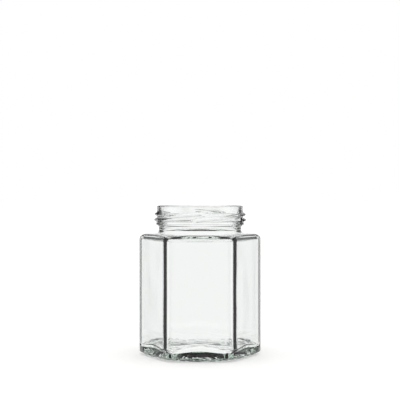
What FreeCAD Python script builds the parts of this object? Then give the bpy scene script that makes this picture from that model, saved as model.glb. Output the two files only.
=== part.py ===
import FreeCAD, Part
import math
import os

# Hexagonal glass jar with a twist-off finish, in millimetres.
# +Z is up, z = 0 is the plane it stands on, and the origin is the centre of the base.
# Two of the six panels face -Y and +Y, and two of the six corners point to -X and +X.

Vector = FreeCAD.Vector
AXIS = Vector(0, 0, 1)
SIDES = 6

# ---- body, outside
total_height = 101.0         # standing plane to the top of the rim
across_flats = 74.1          # panel to opposite panel
corner_radius = 11.0         # upright edges between the panels
heel_radius = 3.0            # panels into the base
shoulder_radius = 4.0        # panels into the shoulder

# ---- body, inside
wall = 3.3                   # glass of the panels
inner_corner_radius = 5.0    # upright inner edges, tighter than the glass is thick there
shoulder_wall = 2.6          # glass of the shoulder
floor_height = 5.8           # standing plane to the inner floor beside the wall
floor_radius = 3.5           # inner wall into the inner floor
ceiling_radius = 1.6         # inner wall into the underside of the shoulder
throat_radius = 3.6          # underside of the shoulder into the bore
fillet_share = 0.95          # most that a fillet takes of the corner radius it runs round
overrun = 1.0                # how far a shape that cuts or fuses runs past the other one

# ---- base
heel_step = 4.3              # panel inwards to the bearing ring's outer edge
bearing_width = 2.4          # flat ring that the jar stands on
toe_rise = 1.5               # how far the underside of each corner clears the standing plane
push_up = 4.2                # height of the hollow under the base
push_up_flank = 24.0         # width of the rounded side of that hollow
floor_crown = 0.5            # the inner floor is higher in the middle by this
dome_margin = 0.5            # the crown's edge to the floor's rounding

# ---- neck and finish
neck_height = 19.2           # flat shoulder to the top of the rim
rim_outer_radius = 29.3
rim_wall = 2.4               # glass at the top of the rim
finish_wall = 2.6            # glass behind the thread
lip_depth = 5.5              # rim's top to where the flare under the lip ends
rim_outer_round = 1.3        # rim's outer edge
rim_inner_round = 0.8        # rim's inner edge
neck_set_back = 1.3          # finish inwards to the neck below the bead
neck_wall = 2.4              # glass of the neck above the shoulder
neck_root_radius = 2.2       # neck into the shoulder
bead_proud = 0.8             # transfer bead beyond the finish
bead_round = 1.25            # its half-round edge
bead_drop = 12.8             # rim's top to the bead's centre line
bead_flank = 0.9             # height of the cone from the bead to the neck and to the finish

# ---- thread: leads that overlap a little round the neck
lead_count = 4
lead_sweep = 112.0           # degrees that each lead runs
lead_start = -100.0          # degrees from +X to the first lead's lower end
lead_low_drop = 10.3         # rim's top to a lead's centre line at its lower end
lead_rise = 5.0              # height that a lead climbs
lead_proud = 1.95            # crest beyond the rim's outer wall
lead_half_height = 1.35      # half a lead's height at its root
lead_crest_half = 0.35       # half the flat of its crest
lead_root = 1.0              # how deep its root runs in the wall
lead_fade_low = 9.0          # degrees over which its lower end swells to full size
lead_fade_high = 22.0        # degrees over which its upper end dies out
lead_least_size = 0.12       # size of its section at either tip, still inside the wall
lead_tip_share = 0.35        # a tip's root height as a share of the full one
lead_stations = 15           # cross-sections that each lead is lofted through

# ---- worked out from the sizes above
shoulder_height = total_height - neck_height
ceiling_height = shoulder_height - shoulder_wall
neck_radius = rim_outer_radius - neck_set_back
bead_radius = rim_outer_radius + bead_proud
lip_radius = rim_outer_radius - rim_wall
finish_bore_radius = rim_outer_radius - finish_wall
bore_radius = neck_radius - neck_wall
ring_outer_radius = across_flats / 2 - heel_step
ring_inner_radius = ring_outer_radius - bearing_width

# Two roundings run out on each narrow flat of the shoulder, so neither takes half of it.
rounding_share = 0.45
shoulder_flat = across_flats / 2 - neck_radius
inner_flat = across_flats / 2 - wall - bore_radius
shoulder_rounding = min(shoulder_radius, rounding_share * shoulder_flat)
neck_root_rounding = min(neck_root_radius, rounding_share * shoulder_flat)
ceiling_rounding = min(ceiling_radius, rounding_share * inner_flat)
throat_rounding = min(throat_radius, rounding_share * inner_flat)
heel_rounding = min(heel_radius, fillet_share * corner_radius)
floor_rounding = min(floor_radius, fillet_share * inner_corner_radius)


def rounded_hexagon(flats, radius, height):
    """A closed wire: regular hexagon with round corners, lying flat at a height."""
    apothem = flats / 2
    corner_reach = apothem / math.cos(math.pi / SIDES)
    centre_reach = corner_reach - radius / math.cos(math.pi / SIDES)
    half_turn = math.pi / SIDES

    def on_corner(corner, turn):
        angle = corner * 2 * math.pi / SIDES
        x = centre_reach * math.cos(angle) + radius * math.cos(angle + turn)
        y = centre_reach * math.sin(angle) + radius * math.sin(angle + turn)
        return Vector(x, y, height)

    edges = []
    for corner in range(SIDES):
        begin = on_corner(corner, -half_turn)
        middle = on_corner(corner, 0)
        end = on_corner(corner, half_turn)
        following = on_corner(corner + 1, -half_turn)
        edges.append(Part.Arc(begin, middle, end).toShape())
        edges.append(Part.LineSegment(end, following).toShape())
    return Part.Wire(edges)


def hexagonal_prism(flats, radius, low, high):
    """A rounded hexagonal prism between two heights."""
    base = Part.Face(rounded_hexagon(flats, radius, low))
    return base.extrude(Vector(0, 0, high - low))


def edges_at(shape, height, tolerance=1e-4):
    """The edges of a shape that lie flat at one height."""
    found = []
    for edge in shape.Edges:
        box = edge.BoundBox
        if abs(box.ZMin - height) < tolerance and abs(box.ZMax - height) < tolerance:
            found.append(edge)
    return found


def circles_at(shape, radius, height, tolerance=1e-3):
    """The circular edges round the axis of one radius at one height."""
    found = []
    for edge in edges_at(shape, height):
        box = edge.BoundBox
        if abs(box.XMax - radius) < tolerance and abs(box.XMin + radius) < tolerance:
            found.append(edge)
    return found


def turned(points_and_arcs):
    """A solid of revolution from a closed outline in the XZ plane.

    Each item is (r, z) for a straight run to that point, or (mid_r, mid_z, r, z) for an arc.
    """
    first = points_and_arcs[0]
    place = Vector(first[0], 0, first[1])
    begin = place
    edges = []
    for item in points_and_arcs[1:]:
        following = Vector(item[-2], 0, item[-1])
        if len(item) == 4:
            through = Vector(item[0], 0, item[1])
            edges.append(Part.Arc(place, through, following).toShape())
        else:
            edges.append(Part.LineSegment(place, following).toShape())
        place = following
    edges.append(Part.LineSegment(place, begin).toShape())
    face = Part.Face(Part.Wire(edges))
    return face.revolve(Vector(0, 0, 0), AXIS, 360)


def quarter(centre_r, centre_z, radius, from_degrees, to_degrees):
    """An arc item for turned(): from one angle to another round a centre."""
    middle = math.radians((from_degrees + to_degrees) / 2)
    end = math.radians(to_degrees)
    return (
        centre_r + radius * math.cos(middle),
        centre_z + radius * math.sin(middle),
        centre_r + radius * math.cos(end),
        centre_z + radius * math.sin(end),
    )


def body_outside():
    """The panelled body, solid, with its heel and its shoulder rounded."""
    body = hexagonal_prism(across_flats, corner_radius, 0, shoulder_height)
    body = body.makeFillet(heel_rounding, edges_at(body, 0))
    return body.makeFillet(shoulder_rounding, edges_at(body, shoulder_height))


def toe_relief():
    """The shallow cone that lifts the underside of the corners off the standing plane."""
    reach = across_flats / 2 / math.cos(math.pi / SIDES)
    slope = toe_rise / (reach - heel_rounding - ring_outer_radius)
    far_radius = reach + corner_radius
    far_height = slope * (far_radius - ring_outer_radius)
    return turned([(ring_outer_radius, 0), (far_radius, 0), (far_radius, far_height)])


def hollow_under_base():
    """The push-up: a shallow turned hollow inside the bearing ring."""
    # The side is an arc that leaves the flat roof of the hollow smoothly.
    flat_radius = ring_inner_radius - push_up_flank
    side_radius = (push_up_flank ** 2 + push_up ** 2) / (2 * push_up)
    half_turn = math.asin(push_up_flank / side_radius) / 2
    side_middle_r = flat_radius + side_radius * math.sin(half_turn)
    side_middle_z = push_up - side_radius * (1 - math.cos(half_turn))
    below = -1.0
    return turned([
        (0, below),
        (ring_inner_radius, below),
        (ring_inner_radius, 0),
        (side_middle_r, side_middle_z, flat_radius, push_up),
        (0, push_up),
    ])


def neck_outside():
    """The neck, its bead and the finish wall up to the rim, solid."""
    bead_z = total_height - bead_drop
    bead_low = bead_z - bead_round
    bead_high = bead_z + bead_round
    bead_centre = bead_radius - bead_round
    rim_corner = rim_outer_radius - rim_outer_round
    rim_spring = total_height - rim_outer_round
    buried = shoulder_height - shoulder_wall / 2
    return turned([
        (0, buried),
        (neck_radius, buried),
        (neck_radius, bead_low - bead_flank),
        (bead_centre, bead_low),
        quarter(bead_centre, bead_z, bead_round, -90, 90),
        (rim_outer_radius, bead_high + bead_flank),
        (rim_outer_radius, rim_spring),
        quarter(rim_corner, rim_spring, rim_outer_round, 0, 90),
        (0, total_height),
    ])


def lead_section(angle, size):
    """A lead's cross-section at an angle round the neck, on its own climbing centre line."""
    share = (angle - lead_start) / lead_sweep
    centre_z = total_height - lead_low_drop + lead_rise * share
    root = rim_outer_radius - lead_root
    crest = rim_outer_radius + lead_proud
    crest_here = root + (crest - root) * size
    half = lead_half_height * (lead_tip_share + (1 - lead_tip_share) * size)
    flat = lead_crest_half
    corners = [
        (root, centre_z - half),
        (crest_here, centre_z - flat),
        (crest_here, centre_z + flat),
        (root, centre_z + half),
    ]
    turn = math.radians(angle)
    points = []
    for radius, z in corners:
        points.append(Vector(radius * math.cos(turn), radius * math.sin(turn), z))
    points.append(points[0])
    return Part.makePolygon(points)


def lead():
    """One thread lead: a ridge that climbs round the neck and dies out at both ends."""
    sections = []
    for station in range(lead_stations):
        along = lead_sweep * station / (lead_stations - 1)
        swell = min(1.0, along / lead_fade_low)
        fade = min(1.0, (lead_sweep - along) / lead_fade_high)
        # A quarter sine rounds both ends off instead of cutting them straight.
        size = math.sin(swell * math.pi / 2) * math.sin(fade * math.pi / 2)
        sections.append(lead_section(lead_start + along, max(size, lead_least_size)))
    return Part.makeLoft(sections, True, False)


def bore():
    """The round way in: a taper up from the throat, then a flare under the lip."""
    flare_z = total_height - lip_depth
    above = total_height + overrun
    return turned([
        (0, ceiling_height - overrun),
        (bore_radius, ceiling_height - overrun),
        (bore_radius, ceiling_height + throat_rounding),
        (finish_bore_radius, flare_z),
        (lip_radius, total_height),
        (lip_radius, above),
        (0, above),
    ])


def inside():
    """The free space in the jar: the panelled cavity and the round bore above it."""
    flats = across_flats - 2 * wall
    cavity = hexagonal_prism(flats, inner_corner_radius, floor_height, ceiling_height)
    cavity = cavity.makeFillet(floor_rounding, edges_at(cavity, floor_height))
    cavity = cavity.makeFillet(ceiling_rounding, edges_at(cavity, ceiling_height))
    space = cavity.fuse(bore()).removeSplitter()
    throat = circles_at(space, bore_radius, ceiling_height)
    return space.makeFillet(throat_rounding, throat)


def floor_dome():
    """The low crown in the middle of the inner floor."""
    dome_radius = across_flats / 2 - wall - floor_rounding - dome_margin
    sphere_radius = (dome_radius ** 2 + floor_crown ** 2) / (2 * floor_crown)
    middle = math.asin(dome_radius / sphere_radius) / 2
    below = floor_height - overrun
    centre_z = floor_height + floor_crown - sphere_radius
    return turned([
        (0, below),
        (dome_radius, below),
        (dome_radius, floor_height),
        (
            sphere_radius * math.sin(middle),
            centre_z + sphere_radius * math.cos(middle),
            0,
            floor_height + floor_crown,
        ),
    ])


def jar():
    """The whole jar, one piece of glass."""
    glass = body_outside().fuse(neck_outside()).removeSplitter()
    neck_root = circles_at(glass, neck_radius, shoulder_height)
    glass = glass.makeFillet(neck_root_rounding, neck_root)
    first = lead()
    for turn in range(lead_count):
        ridge = first.copy()
        ridge.rotate(Vector(0, 0, 0), AXIS, turn * 360 / lead_count)
        glass = glass.fuse(ridge)
    glass = glass.cut(inside())
    glass = glass.makeFillet(rim_inner_round, circles_at(glass, lip_radius, total_height))
    glass = glass.cut(toe_relief())
    glass = glass.cut(hollow_under_base())
    return glass.fuse(floor_dome()).removeSplitter()


os.makedirs("parts", exist_ok=True)
solids = jar().Solids
solid = solids[0]
solid.exportStep("parts/jar.step")
box = solid.optimalBoundingBox()
print("jar: solids", len(solids), "valid", solid.isValid(), "faces", len(solid.Faces))
print("size_mm", [round(side, 3) for side in (box.XLength, box.YLength, box.ZLength)])
print("volume_cm3", round(solid.Volume / 1000, 3), "centre", solid.CenterOfMass)
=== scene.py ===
import math
import bmesh
import bpy
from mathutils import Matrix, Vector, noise


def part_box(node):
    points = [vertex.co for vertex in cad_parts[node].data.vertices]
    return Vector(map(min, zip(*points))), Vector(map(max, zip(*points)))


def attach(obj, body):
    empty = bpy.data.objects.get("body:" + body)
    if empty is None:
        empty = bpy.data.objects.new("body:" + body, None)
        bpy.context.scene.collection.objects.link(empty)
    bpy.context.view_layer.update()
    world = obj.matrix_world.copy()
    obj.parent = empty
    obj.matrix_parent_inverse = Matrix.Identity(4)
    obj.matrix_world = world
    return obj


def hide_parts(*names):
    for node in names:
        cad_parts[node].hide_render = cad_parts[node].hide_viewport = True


bl_info = {
    "name": "Hexagonal Glass Jar",
    "version": (1, 0, 0),
    "blender": (4, 5, 0),
    "location": "3D View > Sidebar > Glass Jar",
    "description": "Blows a hexagonal twist-off jar of clear glass and sets it on a white table",
    "category": "Object",
}

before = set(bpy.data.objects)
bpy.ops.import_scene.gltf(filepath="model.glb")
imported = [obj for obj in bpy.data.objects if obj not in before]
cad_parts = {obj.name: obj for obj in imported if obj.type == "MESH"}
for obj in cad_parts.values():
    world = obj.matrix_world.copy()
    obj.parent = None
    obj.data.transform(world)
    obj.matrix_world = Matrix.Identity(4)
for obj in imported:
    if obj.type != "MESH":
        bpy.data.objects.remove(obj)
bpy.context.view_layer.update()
JAR_LOW, JAR_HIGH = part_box("jar")

MM = 0.001
SIDES = 6
SECTOR = 2 * math.pi / SIDES
JAR_HEIGHT = JAR_HIGH[2] - JAR_LOW[2]
ACROSS_FLATS = JAR_HIGH[1] - JAR_LOW[1]


def linear(hex_colour):
    """An sRGB hex colour as linear red, green and blue."""
    channels = []
    for place in (1, 3, 5):
        value = int(hex_colour[place:place + 2], 16) / 255
        if value <= 0.04045:
            channels.append(value / 12.92)
        else:
            channels.append(((value + 0.055) / 1.055) ** 2.4)
    return tuple(channels)


def length(name, description, millimetres):
    """A length property in metres, with its default in millimetres."""
    return bpy.props.FloatProperty(
        name=name,
        description=description,
        default=millimetres * MM,
        min=0.0,
        unit="LENGTH",
        subtype="DISTANCE",
    )


class JarSizes(bpy.types.PropertyGroup):
    """Real sizes of the jar."""

    height: length("Height", "Table to the top of the rim", JAR_HEIGHT / MM)
    across_flats: length("Across flats", "Panel to opposite panel", ACROSS_FLATS / MM)
    corner_radius: length("Corner radius", "Upright corners, outside", 11.0)
    inner_corner_radius: length("Inner corner radius", "Upright corners, inside", 5.0)
    wall: length("Wall", "Glass of the panels", 3.3)
    heel_radius: length("Heel radius", "Panels into the base", 3.0)
    toe_rise: length("Toe rise", "How far the underside rises towards each corner", 1.5)
    shoulder_radius: length("Shoulder radius", "Panels into the shoulder", 4.0)
    shoulder_wall: length("Shoulder wall", "Glass of the shoulder", 3.0)
    neck_height: length("Neck height", "Shoulder to the top of the rim", 19.2)
    rim_radius: length("Rim radius", "Outside of the finish", 29.3)
    rim_wall: length("Rim wall", "Glass at the top of the rim", 2.4)
    finish_wall: length("Finish wall", "Glass behind the thread", 2.6)
    neck_wall: length("Neck wall", "Glass of the neck above the shoulder", 2.4)
    lip_depth: length("Lip depth", "Rim down to the end of the inner flare", 5.5)
    rim_round: length("Rim rounding", "Outer edge of the rim", 1.3)
    lip_round: length("Lip rounding", "Inner edge of the rim", 0.8)
    neck_set_back: length("Neck set-back", "Finish back to the neck below the bead", 1.3)
    neck_root: length("Neck root", "Rounding of the neck into the shoulder", 2.6)
    bead_proud: length("Bead height", "How far the bead stands out of the finish", 0.6)
    bead_drop: length("Bead drop", "Top of the rim to the bead", 12.8)
    thread_proud: length("Thread height", "How far the leads stand out of the finish", 1.95)
    throat_round: length("Throat rounding", "Bore into the underside of the shoulder", 4.2)
    ceiling_round: length("Ceiling rounding", "Inner walls into the underside of the shoulder", 1.6)
    floor_height: length("Floor height", "Table to the inner floor in the corners", 5.4)
    floor_swell: length("Floor swell", "How much higher the floor is beside a panel's middle", 1.2)
    floor_round_corner: length("Floor rounding, corners", "Inner walls to the floor, corners", 2.5)
    floor_round_panel: length("Floor rounding, panels", "Inner walls to the floor, mid-panel", 3.5)
    floor_crown: length("Floor crown", "Rise of the inner floor to its middle", 0.8)
    push_up: length("Push-up", "Height of the hollow under the base", 4.2)
    push_up_flank: length("Push-up flank", "Width of the rounded side of that hollow", 24.0)
    bearing_step: length("Bearing step", "Panel in to the bearing ring", 4.3)
    bearing_width: length("Bearing width", "Width of the flat bearing ring", 2.4)
    stipple: length("Stipple", "Usual depth of the stippling under the base", 0.65)
    heel_dimple: length("Heel dimples", "Depth of the soft dimples round the heel", 0.1)
    ripple: length("Ripple", "Depth of the slow waves on the inner floor", 0.03)
    wave: length("Wave", "Depth of the long waves down the inner walls", 0.05)


class GlassLook(bpy.types.PropertyGroup):
    """Finish of the glass."""

    surface: bpy.props.FloatVectorProperty(
        name="Surface",
        description="Colour that the glass gives to light at its surface",
        default=linear("#FFFFFF"),
        size=3,
        min=0.0,
        max=1.0,
        subtype="COLOR",
    )
    tint: bpy.props.FloatVectorProperty(
        name="Tint",
        description="Colour left of white light after a long way through the glass",
        default=linear("#BBD9C5"),
        size=3,
        min=0.0,
        max=1.0,
        subtype="COLOR",
    )
    depth: bpy.props.FloatProperty(
        name="Depth",
        description="How strongly the glass takes light away, per metre",
        default=14.0,
        min=0.0,
    )
    skin: length("Skin", "Height of the shallow waves in the skin", 0.02)
    ior: bpy.props.FloatProperty(
        name="Index of refraction",
        description="Soda-lime container glass is about 1.52",
        default=1.52,
        min=1.0,
        max=2.0,
    )


class StageSettings(bpy.types.PropertyGroup):
    """Table, light and camera."""

    floor: bpy.props.FloatVectorProperty(
        name="Floor",
        description="Colour of the table",
        default=linear("#F7F7F5"),
        size=3,
        min=0.0,
        max=1.0,
        subtype="COLOR",
    )
    lift: bpy.props.FloatProperty(
        name="Lift",
        description="Light of the table's own that brings its lit part up to white",
        default=0.22,
        min=0.0,
    )
    backdrop_half: bpy.props.FloatProperty(
        name="Backdrop half angle",
        description="Half the angle that the backdrop behind the jar covers",
        default=math.radians(24),
        unit="ROTATION",
        subtype="ANGLE",
    )
    card: bpy.props.FloatProperty(
        name="Cards",
        description="Brightness of the dark cards between the backdrops",
        default=0.12,
        min=0.0,
    )
    eye_height: length("Eye height", "Camera above the table", 104.6)
    distance: length("Camera distance", "Camera to the jar's axis", 660.0)
    lens: bpy.props.FloatProperty(
        name="Lens",
        description="Focal length on a 36 mm wide sensor",
        default=87.4,
        min=1.0,
        unit="CAMERA",
    )


# ---- the shape of the jar, as rings of points round the axis


CORNER_SEGMENTS = 32
PANEL_SEGMENTS = 28
CORNER_SPREAD = math.radians(7.5)
CORNER_CROWDING = 1.25
MERGE = 0.002 * MM

# How many steps each stretch of the glass takes.
RINGS = {
    "push-up roof": 6,
    "push-up flank": 12,
    "bearing": 3,
    "heel": 12,
    "panel": 18,
    "shoulder": 12,
    "shoulder flat": 5,
    "neck root": 7,
    "finish": 60,
    "rim": 8,
    "lip": 8,
    "flare": 8,
    "bore": 8,
    "throat": 10,
    "ceiling": 4,
    "ceiling edge": 12,
    "inner wall": 24,
    "foot": 14,
    "floor": 12,
}
BEARING_GAP = 0.6 * MM      # the bearing ring stops this far short of the heel
BEAD_HALF = 1.9 * MM        # half the height of the bead

# The thread's leads. Angles are in degrees round the axis.
LEADS = 4
LEAD_START = -100.0
LEAD_SWEEP = 112.0
LEAD_RISE = 5.0 * MM
LEAD_DROP = 10.3 * MM       # top of the rim to a lead's low end
LEAD_HALF = 1.45 * MM       # half a lead's height at its root
LEAD_TIP = 0.6              # share of that height left at a lead's ends
LEAD_FADE_LOW = 9.0
LEAD_FADE_HIGH = 22.0
LEAD_CREST = 0.6            # below 1, the crest of a lead is broader

# The unevenness of the skin, in waves a millimetre and in millimetres from the axis or the table.
NOISE_GAIN = 1.6            # brings nearly all of the noise to within -1 and 1
UNDERSIDE_SLOPE = -0.25     # skin that faces further down than this is underside
FLOOR_SLOPE = 0.25          # skin that faces further up than this is inner floor
STIPPLE_COARSE = 0.6
STIPPLE_FINE = 1.14
STIPPLE_MIDDLE = 0.1        # share of the depth left in the middle of the base
STIPPLE_FROM = 17
STIPPLE_OVER = 8
STIPPLE_OUT = 0.12 * MM     # the stippling stands no further out than this
STIPPLE_TOP = 8 * MM
DIMPLE_WAVES = 0.5
DIMPLE_FULL_TO = 2.5
DIMPLE_OVER = 3.5
DIMPLE_TOP = 6 * MM
RIPPLE_WAVES = 0.25
RIPPLE_FULL_TO = 8
RIPPLE_OVER = 5
RIPPLE_TOP = 14 * MM
WAVES_ACROSS = 0.08
WAVES_ALONG = 0.04
WAVES_SHIFT = 5.3
WAVES_TOP = 80 * MM


def ring_angles():
    """The angles of a ring's points: crowded at the corners, even across the panels."""
    offsets = []
    half = CORNER_SEGMENTS // 2
    for step in range(-half, half):
        share = step / half
        offsets.append(math.copysign(abs(share) ** CORNER_CROWDING, share) * CORNER_SPREAD)
    panel = SECTOR - 2 * CORNER_SPREAD
    for step in range(PANEL_SEGMENTS):
        offsets.append(CORNER_SPREAD + panel * step / PANEL_SEGMENTS)
    angles = []
    for corner in range(SIDES):
        for offset in offsets:
            angles.append((corner * SECTOR + offset) % (2 * math.pi))
    return sorted(angles)


def hexagon(apothem, rounding, angle):
    """Distance from the axis to a hexagon with round corners, one corner towards +X."""
    turned = (angle + SECTOR / 2) % SECTOR - SECTOR / 2
    off_corner = abs(turned)
    from_panel = SECTOR / 2 - off_corner
    flat_half = (apothem - rounding) * math.tan(SECTOR / 2)
    if apothem * math.tan(from_panel) <= flat_half:
        return apothem / math.cos(from_panel)
    centre = (apothem - rounding) / math.cos(SECTOR / 2)
    across = centre * math.sin(off_corner)
    return centre * math.cos(off_corner) + math.sqrt(max(rounding ** 2 - across ** 2, 0.0))


def steps(count, first=0):
    """Shares from 0 to 1 in even steps, leaving out the first ones if asked."""
    return [step / count for step in range(first, count + 1)]


def smooth(share):
    """An S-shaped step from 0 to 1."""
    share = min(max(share, 0.0), 1.0)
    return share * share * (3 - 2 * share)


def thread(sizes, angle, z):
    """How far the thread leads stand out at a place on the finish."""
    out = 0.0
    for lead in range(LEADS):
        along = (math.degrees(angle) - LEAD_START - lead * 360 / LEADS) % 360
        if along > LEAD_SWEEP:
            continue
        centre = sizes.height - LEAD_DROP + LEAD_RISE * along / LEAD_SWEEP
        swell = math.sin(min(1.0, along / LEAD_FADE_LOW) * math.pi / 2)
        fade = math.sin(min(1.0, (LEAD_SWEEP - along) / LEAD_FADE_HIGH) * math.pi / 2)
        off = abs(z - centre) / (LEAD_HALF * (LEAD_TIP + (1 - LEAD_TIP) * swell * fade))
        if off < 1:
            crest = (1 - smooth(off)) ** LEAD_CREST
            out = max(out, sizes.thread_proud * swell * fade * crest)
    return out


def toward_panel(angle):
    """0 at a corner of the hexagon, 1 in the middle of a panel."""
    return 0.5 - 0.5 * math.cos(SIDES * angle)


def shoulder_level(sizes):
    return sizes.height - sizes.neck_height


def ceiling_level(sizes):
    return shoulder_level(sizes) - sizes.shoulder_wall


def neck_radius(sizes):
    return sizes.rim_radius - sizes.neck_set_back


def bore_radius(sizes):
    return neck_radius(sizes) - sizes.neck_wall


def circle(radius, z):
    """A round, level ring."""
    return lambda angle: (radius, z)


def blend(outer, inner, share, z):
    """A level ring part of the way from an outline to a circle inside it."""
    def ring(angle):
        return outer(angle) + (inner - outer(angle)) * share, z
    return ring


def base_rings(sizes):
    """The underside: the push-up, then the bearing ring."""
    ring_out = sizes.across_flats / 2 - sizes.bearing_step
    ring_in = ring_out - sizes.bearing_width
    flank = sizes.push_up_flank
    roof = ring_in - flank
    for share in steps(RINGS["push-up roof"]):
        yield circle(roof * share, sizes.push_up)
    side = (flank ** 2 + sizes.push_up ** 2) / (2 * sizes.push_up)
    full = math.asin(flank / side)
    for share in steps(RINGS["push-up flank"], 1):
        turn = full * share
        yield circle(roof + side * math.sin(turn), sizes.push_up - side * (1 - math.cos(turn)))
    for share in steps(RINGS["bearing"], 1):
        yield circle(ring_in + (ring_out - BEARING_GAP - ring_in) * share, 0.0)


def body_rings(sizes):
    """The heel, whose corners stand clear of the table, the panels and the shoulder."""
    apothem = sizes.across_flats / 2
    corner = sizes.corner_radius
    heel = sizes.heel_radius
    shoulder_z = shoulder_level(sizes)
    ring_out = apothem - sizes.bearing_step
    reach = apothem / math.cos(SECTOR / 2)
    toe_slope = sizes.toe_rise / (reach - heel - ring_out)
    for share in steps(RINGS["heel"]):
        turn = math.pi / 2 * (1 - share)
        inset = heel * (1 - math.cos(turn))
        lift = heel * (1 - math.sin(turn))

        def heel_ring(angle, inset=inset, lift=lift):
            radius = hexagon(apothem - inset, corner - inset, angle)
            toe = toe_slope * max(0.0, radius - ring_out)
            return radius, lift + toe * (1 - lift / heel)
        yield heel_ring

    rounding = sizes.shoulder_radius
    wall_top = shoulder_z - rounding
    for share in steps(RINGS["panel"], 1):
        z = heel + (wall_top - heel) * share
        yield lambda angle, z=z: (hexagon(apothem, corner, angle), z)
    for share in steps(RINGS["shoulder"], 1):
        turn = math.pi / 2 * share
        inset = rounding * (1 - math.cos(turn))
        z = wall_top + rounding * math.sin(turn)
        yield lambda angle, z=z, inset=inset: (hexagon(apothem - inset, corner - inset, angle), z)

    def flat_edge(angle):
        return hexagon(apothem - rounding, corner - rounding, angle)

    root_out = neck_radius(sizes) + sizes.neck_root
    for share in steps(RINGS["shoulder flat"], 1):
        yield blend(flat_edge, root_out, share, shoulder_z)


def neck_rings(sizes):
    """The rounding up out of the shoulder, then the neck, the bead and the finish."""
    shoulder_z = shoulder_level(sizes)
    neck = neck_radius(sizes)
    root_out = neck + sizes.neck_root
    for share in steps(RINGS["neck root"], 1):
        turn = math.pi / 2 * share
        yield circle(
            root_out - sizes.neck_root * math.sin(turn),
            shoulder_z + sizes.neck_root * (1 - math.cos(turn)),
        )
    low = shoulder_z + sizes.neck_root
    high = sizes.height - sizes.rim_round
    bead_z = sizes.height - sizes.bead_drop
    bead_radius = sizes.rim_radius + sizes.bead_proud
    for share in steps(RINGS["finish"], 1):
        z = low + (high - low) * share
        above = smooth((z - bead_z + BEAD_HALF) / (2 * BEAD_HALF))
        base = neck + (sizes.rim_radius - neck) * above
        off = abs(z - bead_z) / BEAD_HALF
        bead = 0.0
        if off < 1:
            middle = (neck + sizes.rim_radius) / 2
            bead = (bead_radius - middle) * (1 - smooth(off))
        yield lambda angle, z=z, radius=base + bead: (radius + thread(sizes, angle, z), z)


def rim_rings(sizes):
    """The rim's outer edge, its top and its inner edge."""
    high = sizes.height - sizes.rim_round
    for share in steps(RINGS["rim"], 1):
        turn = math.pi / 2 * share
        yield circle(
            sizes.rim_radius - sizes.rim_round * (1 - math.cos(turn)),
            high + sizes.rim_round * math.sin(turn),
        )
    lip = sizes.rim_radius - sizes.rim_wall
    lip_round = sizes.lip_round
    for share in steps(RINGS["lip"]):
        turn = math.pi / 2 * share
        yield circle(
            lip + lip_round * (1 - math.sin(turn)),
            sizes.height - lip_round * (1 - math.cos(turn)),
        )


def bore_rings(sizes):
    """A flare under the lip, a slow taper down the bore, and the rounding of the throat."""
    lip = sizes.rim_radius - sizes.rim_wall
    bore_top = sizes.rim_radius - sizes.finish_wall
    bore = bore_radius(sizes)
    ceiling = ceiling_level(sizes)
    throat = sizes.throat_round
    flare_z = sizes.height - sizes.lip_depth
    lip_z = sizes.height - sizes.lip_round
    for share in steps(RINGS["flare"], 1):
        yield circle(lip + (bore_top - lip) * smooth(share), lip_z + (flare_z - lip_z) * share)
    throat_z = ceiling + throat
    for share in steps(RINGS["bore"], 1):
        yield circle(bore_top + (bore - bore_top) * share, flare_z + (throat_z - flare_z) * share)
    for share in steps(RINGS["throat"], 1):
        turn = math.pi / 2 * share
        yield circle(bore + throat * (1 - math.cos(turn)), ceiling + throat * (1 - math.sin(turn)))


def inside_rings(sizes):
    """The underside of the shoulder, the inner walls, their foot and the crowned floor."""
    ceiling = ceiling_level(sizes)
    ceiling_round = sizes.ceiling_round

    def inner_wall(angle):
        return hexagon(sizes.across_flats / 2 - sizes.wall, sizes.inner_corner_radius, angle)

    def ceiling_outline(angle):
        return inner_wall(angle) - ceiling_round

    def foot_round(angle):
        wider = sizes.floor_round_panel - sizes.floor_round_corner
        return sizes.floor_round_corner + wider * toward_panel(angle)

    def floor_edge(angle):
        return sizes.floor_height + sizes.floor_swell * toward_panel(angle)

    throat_out = bore_radius(sizes) + sizes.throat_round
    for share in steps(RINGS["ceiling"], 1):
        yield blend(ceiling_outline, throat_out, 1 - share, ceiling)
    for share in steps(RINGS["ceiling edge"], 1):
        turn = math.pi / 2 * (1 - share)

        def ceiling_ring(angle, turn=turn):
            radius = inner_wall(angle) - ceiling_round * (1 - math.cos(turn))
            return radius, ceiling - ceiling_round * (1 - math.sin(turn))
        yield ceiling_ring
    for share in steps(RINGS["inner wall"], 1):
        def wall_ring(angle, share=share):
            top = ceiling - ceiling_round
            bottom = floor_edge(angle) + foot_round(angle)
            return inner_wall(angle), top + (bottom - top) * share
        yield wall_ring
    for share in steps(RINGS["foot"], 1):
        turn = math.pi / 2 * share

        def foot_ring(angle, turn=turn):
            size = foot_round(angle)
            radius = inner_wall(angle) - size * (1 - math.cos(turn))
            return radius, floor_edge(angle) + size * (1 - math.sin(turn))
        yield foot_ring
    crown = sizes.floor_height + sizes.floor_crown
    for share in steps(RINGS["floor"], 1):
        def floor_ring(angle, share=share):
            low = floor_edge(angle)
            edge = inner_wall(angle) - foot_round(angle)
            return edge * (1 - share), low + (crown - low) * smooth(share)
        yield floor_ring


def jar_rings(sizes):
    """Each ring as a function of the angle that gives (distance from the axis, z).

    The rings run from the middle of the underside out to the heel, up the outside to the rim,
    and down the inside to the middle of the inner floor.
    """
    stretches = (base_rings, body_rings, neck_rings, rim_rings, bore_rings, inside_rings)
    return [ring for stretch in stretches for ring in stretch(sizes)]


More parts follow.
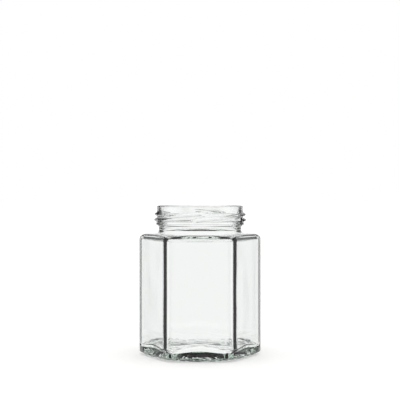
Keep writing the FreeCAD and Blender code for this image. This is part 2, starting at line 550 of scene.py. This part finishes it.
def unevenness(sizes, place, normal):
    """How far the skin stands out or in at a place, as the mould and the cooling leave it."""
    outward = normal.x * place.x + normal.y * place.y
    spot = place / MM
    if normal.z < UNDERSIDE_SLOPE and place.z < STIPPLE_TOP:
        # Stippling under the base, so that the hot glass does not stick or crack. It is drawn
        # coarser and deeper than real stippling, so that it shows.
        radius = math.hypot(place.x, place.y)
        edge = smooth((radius / MM - STIPPLE_FROM) / STIPPLE_OVER)
        fade = STIPPLE_MIDDLE + (1 - STIPPLE_MIDDLE) * edge
        grain = noise.noise(spot * STIPPLE_COARSE) + 0.5 * noise.noise(spot * STIPPLE_FINE)
        return min(sizes.stipple * fade * NOISE_GAIN * grain, STIPPLE_OUT)
    if outward > 0 and place.z < DIMPLE_TOP:
        fade = 1 - smooth((place.z / MM - DIMPLE_FULL_TO) / DIMPLE_OVER)
        return sizes.heel_dimple * fade * NOISE_GAIN * noise.noise(spot * DIMPLE_WAVES)
    if place.z < RIPPLE_TOP and (outward < 0 or normal.z > FLOOR_SLOPE):
        fade = 1 - smooth((place.z / MM - RIPPLE_FULL_TO) / RIPPLE_OVER)
        return sizes.ripple * fade * NOISE_GAIN * noise.noise(spot * RIPPLE_WAVES)
    if outward < 0 and place.z < WAVES_TOP:
        # Long waves that run down the inner walls, where no mould touched the glass.
        spot.x = spot.x * WAVES_ACROSS + WAVES_SHIFT
        spot.y *= WAVES_ACROSS
        spot.z *= WAVES_ALONG
        return sizes.wave * NOISE_GAIN * noise.noise(spot)
    return 0.0


def blow_jar(sizes):
    """The whole glass as one closed skin: a grid wrapped round the axis, ring by ring."""
    angles = ring_angles()
    angles.append(angles[0] + 2 * math.pi)
    rings = jar_rings(sizes)
    shape = bmesh.new()
    bmesh.ops.create_grid(shape, x_segments=len(angles) - 1, y_segments=len(rings) - 1, size=1.0)
    shape.verts.ensure_lookup_table()
    turns = [(angle, math.cos(angle), math.sin(angle)) for angle in angles]
    vertices = iter(shape.verts)
    for ring in rings:
        for angle, across, along in turns:
            radius, z = ring(angle)
            next(vertices).co = (radius * across, radius * along, z)
    # The seam closes, and the first and last rings shrink to a point.
    bmesh.ops.remove_doubles(shape, verts=shape.verts, dist=MERGE)
    bmesh.ops.recalc_face_normals(shape, faces=shape.faces)
    shape.normal_update()
    moves = [unevenness(sizes, vertex.co, vertex.normal) for vertex in shape.verts]
    for vertex, move in zip(shape.verts, moves):
        vertex.co += vertex.normal * move
        # Nothing hangs below the plane that the jar stands on.
        vertex.co.z = max(vertex.co.z, 0.0)
    return shape


# ---- materials


SKIN_WAVE = 9 * MM          # from wave to wave in the skin
MIRROR_FROM = 0.78          # how far off square, of 1, the table starts to mirror
MIRROR_FULL = 0.84


def add_node(tree, kind, links=None, **settings):
    """Adds a node, sets its values, and links its inputs from (node, output) pairs."""
    node = tree.nodes.new(kind)
    for name, value in settings.items():
        if name in node.inputs:
            node.inputs[name].default_value = value
        else:
            setattr(node, name, value)
    for name, (source, output) in (links or {}).items():
        tree.links.new(source.outputs[output], node.inputs[name])
    return node


def new_tree(owner):
    """An owner's node tree, emptied."""
    owner.use_nodes = True
    owner.node_tree.nodes.clear()
    return owner.node_tree


def flint_glass(look):
    """Soda-lime container glass, blown in an iron mould and fire-polished.

    The body is clear, so it shows as bright panels between dark edges, and its iron gives the
    long ways through it a grey-green tint.
    """
    material = bpy.data.materials.new("flint_glass_fire_polished")
    tree = new_tree(material)
    surface = add_node(tree, "ShaderNodeBsdfPrincipled")
    surface.inputs["Base Color"].default_value = (*look.surface, 1.0)
    surface.inputs["Roughness"].default_value = 0.0
    surface.inputs["IOR"].default_value = look.ior
    surface.inputs["Transmission Weight"].default_value = 1.0
    # The skin is never quite flat: shallow waves set as the glass cooled bend what shows through.
    place = add_node(tree, "ShaderNodeTexCoord")
    waves = add_node(
        tree, "ShaderNodeTexNoise", links={"Vector": (place, "Object")},
        Scale=1 / SKIN_WAVE, Detail=1.0,
    )
    skin = add_node(tree, "ShaderNodeBump", links={"Height": (waves, "Fac")}, Distance=look.skin)
    tree.links.new(skin.outputs["Normal"], surface.inputs["Normal"])
    inside = add_node(tree, "ShaderNodeVolumeAbsorption")
    inside.inputs["Color"].default_value = (*look.tint, 1.0)
    inside.inputs["Density"].default_value = look.depth
    output = add_node(tree, "ShaderNodeOutputMaterial")
    tree.links.new(surface.outputs["BSDF"], output.inputs["Surface"])
    tree.links.new(inside.outputs["Volume"], output.inputs["Volume"])
    return material


def white_table(stage):
    """Glossy white acrylic, which shows as a white table with the jar's shadow on it.

    The camera and soft light meet a matt white sheet with a faint glow of its own. Rays that come
    through or off the glass meet an evenly bright sheet without the shadow, which mirrors the
    studio at grazing angles. Real acrylic does not tell rays apart; here it keeps the glass clear.
    """
    material = bpy.data.materials.new("acrylic_glossy_white")
    tree = new_tree(material)
    path = add_node(tree, "ShaderNodeLightPath")
    paint = add_node(tree, "ShaderNodeBsdfDiffuse")
    paint.inputs["Color"].default_value = (*stage.floor, 1.0)
    lift = add_node(tree, "ShaderNodeEmission")
    lift.inputs["Strength"].default_value = stage.lift
    shown = add_node(tree, "ShaderNodeAddShader", links={0: (paint, "BSDF"), 1: (lift, "Emission")})

    body = add_node(tree, "ShaderNodeEmission")
    mirror = add_node(tree, "ShaderNodeBsdfAnisotropic")
    mirror.inputs["Roughness"].default_value = 0.0
    mirror.inputs["Color"].default_value = (1.0, 1.0, 1.0, 1.0)
    tilt = add_node(tree, "ShaderNodeLayerWeight")
    tilt.inputs["Blend"].default_value = 0.5
    gloss = add_node(tree, "ShaderNodeMapRange", links={"Value": (tilt, "Facing")})
    gloss.interpolation_type = "SMOOTHSTEP"
    gloss.inputs["From Min"].default_value = MIRROR_FROM
    gloss.inputs["From Max"].default_value = MIRROR_FULL
    acrylic = add_node(
        tree, "ShaderNodeMixShader",
        links={0: (gloss, "Result"), 1: (body, "Emission"), 2: (mirror, "BSDF")},
    )
    direct = add_node(
        tree, "ShaderNodeMath", operation="MAXIMUM",
        links={0: (path, "Is Camera Ray"), 1: (path, "Is Diffuse Ray")},
    )
    both = add_node(
        tree, "ShaderNodeMixShader",
        links={0: (direct, "Value"), 1: (acrylic, "Shader"), 2: (shown, "Shader")},
    )
    add_node(tree, "ShaderNodeOutputMaterial", links={"Surface": (both, "Shader")})
    return material


CARD_EDGE = 3               # degrees over which a card fades at its edge
BACKDROP_TOP = 28           # degrees over the horizon
TOP_LIGHT = 33              # degrees over the horizon, up from here


def ramp(tree, source, stops):
    """A smooth grey ramp through (place, level) stops."""
    node = add_node(tree, "ShaderNodeValToRGB", links={"Fac": source})
    node.color_ramp.interpolation = "EASE"
    elements = node.color_ramp.elements
    while len(elements) < len(stops):
        elements.new(1.0)
    for element, (place, level) in zip(elements, stops):
        element.position = place
        element.color = (level, level, level, 1.0)
    return node


def rise(degrees):
    """How high a direction stands, from 0 to 1, at an angle over the horizon."""
    return math.sin(math.radians(degrees))


def light_the_world(stage):
    """White backdrops behind and beside the jar with dark cards between, under a soft top light.

    Only rays that come through or off the glass see them. The camera sees plain white, and the
    table is lit evenly from all round. Each level was set so that the glass shows its edges.
    """
    world = bpy.data.worlds.new("studio")
    bpy.context.scene.world = world
    tree = new_tree(world)
    way = add_node(tree, "ShaderNodeTexCoord")
    parts = add_node(tree, "ShaderNodeSeparateXYZ", links={"Vector": (way, "Generated")})
    azimuth = add_node(
        tree, "ShaderNodeMath", operation="ARCTAN2", links={0: (parts, "X"), 1: (parts, "Y")},
    )
    off_back = add_node(tree, "ShaderNodeMath", operation="ABSOLUTE", links={0: (azimuth, "Value")})
    share = add_node(tree, "ShaderNodeMath", operation="DIVIDE", links={0: (off_back, "Value")})
    share.inputs[1].default_value = math.pi
    card = stage.card
    half = math.degrees(stage.backdrop_half)
    # Degrees from the back, on either side, and the brightness there.
    round_the_jar = (
        (half - CARD_EDGE, 1.0),
        (half + CARD_EDGE, card / 2),
        (54, card / 2),
        (58, 0.8),
        (68, 0.8),
        (80, 1.0),
        (100, 1.0),
        (124, 0.55),
        (132, card),
        (146, card),
        (154, 0.6),
    )
    around = ramp(tree, (share, "Value"), [(angle / 180, level) for angle, level in round_the_jar])
    height = ramp(tree, (parts, "Z"), [
        (0.0, 1.0),
        (rise(BACKDROP_TOP), 1.0),
        (rise(BACKDROP_TOP + CARD_EDGE), card),
    ])
    backdrops = add_node(
        tree, "ShaderNodeMath", operation="MULTIPLY",
        links={0: (around, "Color"), 1: (height, "Color")},
    )
    over = ramp(tree, (parts, "Z"), [
        (rise(TOP_LIGHT), card),
        (rise(TOP_LIGHT + CARD_EDGE), 1.0),
    ])
    glassy = add_node(
        tree, "ShaderNodeMath", operation="MAXIMUM",
        links={0: (backdrops, "Value"), 1: (over, "Color")},
    )
    path = add_node(tree, "ShaderNodeLightPath")
    direct = add_node(
        tree, "ShaderNodeMath", operation="MAXIMUM",
        links={0: (path, "Is Camera Ray"), 1: (path, "Is Diffuse Ray")},
    )
    shown = add_node(
        tree, "ShaderNodeMath", operation="MAXIMUM",
        links={0: (glassy, "Value"), 1: (direct, "Value")},
    )
    back = add_node(tree, "ShaderNodeBackground", links={"Strength": (shown, "Value")})
    back.inputs["Color"].default_value = (1.0, 1.0, 1.0, 1.0)
    add_node(tree, "ShaderNodeOutputWorld", links={"Surface": (back, "Background")})


# ---- operators, panel and registration


TABLE_HALF = 40.0
GLOSSY_BOUNCES = 3


class GLASSJAR_OT_blow(bpy.types.Operator):
    """Blow the jar as one closed skin of glass in place of the solid of the frame"""

    bl_idname = "glassjar.blow"
    bl_label = "Blow the Jar"
    bl_options = {"REGISTER", "UNDO"}

    def execute(self, context):
        scene = context.scene
        shape = blow_jar(scene.jar_sizes)
        if any(not edge.is_manifold for edge in shape.edges):
            raise RuntimeError("the jar's skin is not closed")
        for face in shape.faces:
            face.smooth = True
        mesh = bpy.data.meshes.new("jar_glass")
        shape.to_mesh(mesh)
        shape.free()
        jar = bpy.data.objects.new("jar_glass", mesh)
        scene.collection.objects.link(jar)
        mesh.materials.append(flint_glass(scene.glass_look))
        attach(jar, "root")
        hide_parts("jar")
        return {"FINISHED"}


class GLASSJAR_OT_set_stage(bpy.types.Operator):
    """Lay the white table, light the studio and set up the camera"""

    bl_idname = "glassjar.set_stage"
    bl_label = "Set the Stage"
    bl_options = {"REGISTER", "UNDO"}

    def execute(self, context):
        scene = context.scene
        stage = scene.stage_settings
        shape = bmesh.new()
        bmesh.ops.create_grid(shape, x_segments=1, y_segments=1, size=TABLE_HALF)
        mesh = bpy.data.meshes.new("table")
        shape.to_mesh(mesh)
        shape.free()
        mesh.materials.append(white_table(stage))
        table = bpy.data.objects.new("table", mesh)
        scene.collection.objects.link(table)
        light_the_world(stage)
        lens = bpy.data.cameras.new("camera")
        lens.lens = stage.lens
        lens.sensor_width = 36.0
        camera = bpy.data.objects.new("camera", lens)
        camera.location = (0.0, -stage.distance, stage.eye_height)
        camera.rotation_euler = (math.pi / 2, 0.0, 0.0)
        scene.collection.objects.link(camera)
        scene.camera = camera
        scene.view_settings.view_transform = "Standard"
        # Light that still turns back inside the glass after this many turns is let go. Real
        # glass keeps it: letting it go makes the thick base darker.
        scene.cycles.glossy_bounces = GLOSSY_BOUNCES
        return {"FINISHED"}


class GLASSJAR_PT_panel(bpy.types.Panel):
    """Sizes, glass and stage of the jar"""

    bl_idname = "GLASSJAR_PT_panel"
    bl_label = "Glass Jar"
    bl_space_type = "VIEW_3D"
    bl_region_type = "UI"
    bl_category = "Glass Jar"

    def draw(self, context):
        layout = self.layout
        scene = context.scene
        for group in (scene.jar_sizes, scene.glass_look, scene.stage_settings):
            box = layout.box()
            for name in group.__annotations__:
                box.prop(group, name)
        layout.operator("glassjar.blow")
        layout.operator("glassjar.set_stage")


CLASSES = (
    JarSizes,
    GlassLook,
    StageSettings,
    GLASSJAR_OT_blow,
    GLASSJAR_OT_set_stage,
    GLASSJAR_PT_panel,
)


def register():
    for item in CLASSES:
        bpy.utils.register_class(item)
    bpy.types.Scene.jar_sizes = bpy.props.PointerProperty(type=JarSizes)
    bpy.types.Scene.glass_look = bpy.props.PointerProperty(type=GlassLook)
    bpy.types.Scene.stage_settings = bpy.props.PointerProperty(type=StageSettings)


def unregister():
    del bpy.types.Scene.stage_settings
    del bpy.types.Scene.glass_look
    del bpy.types.Scene.jar_sizes
    for item in reversed(CLASSES):
        bpy.utils.unregister_class(item)


def main():
    register()
    bpy.ops.glassjar.blow()
    bpy.ops.glassjar.set_stage()


if __name__ == "__main__":
    main()
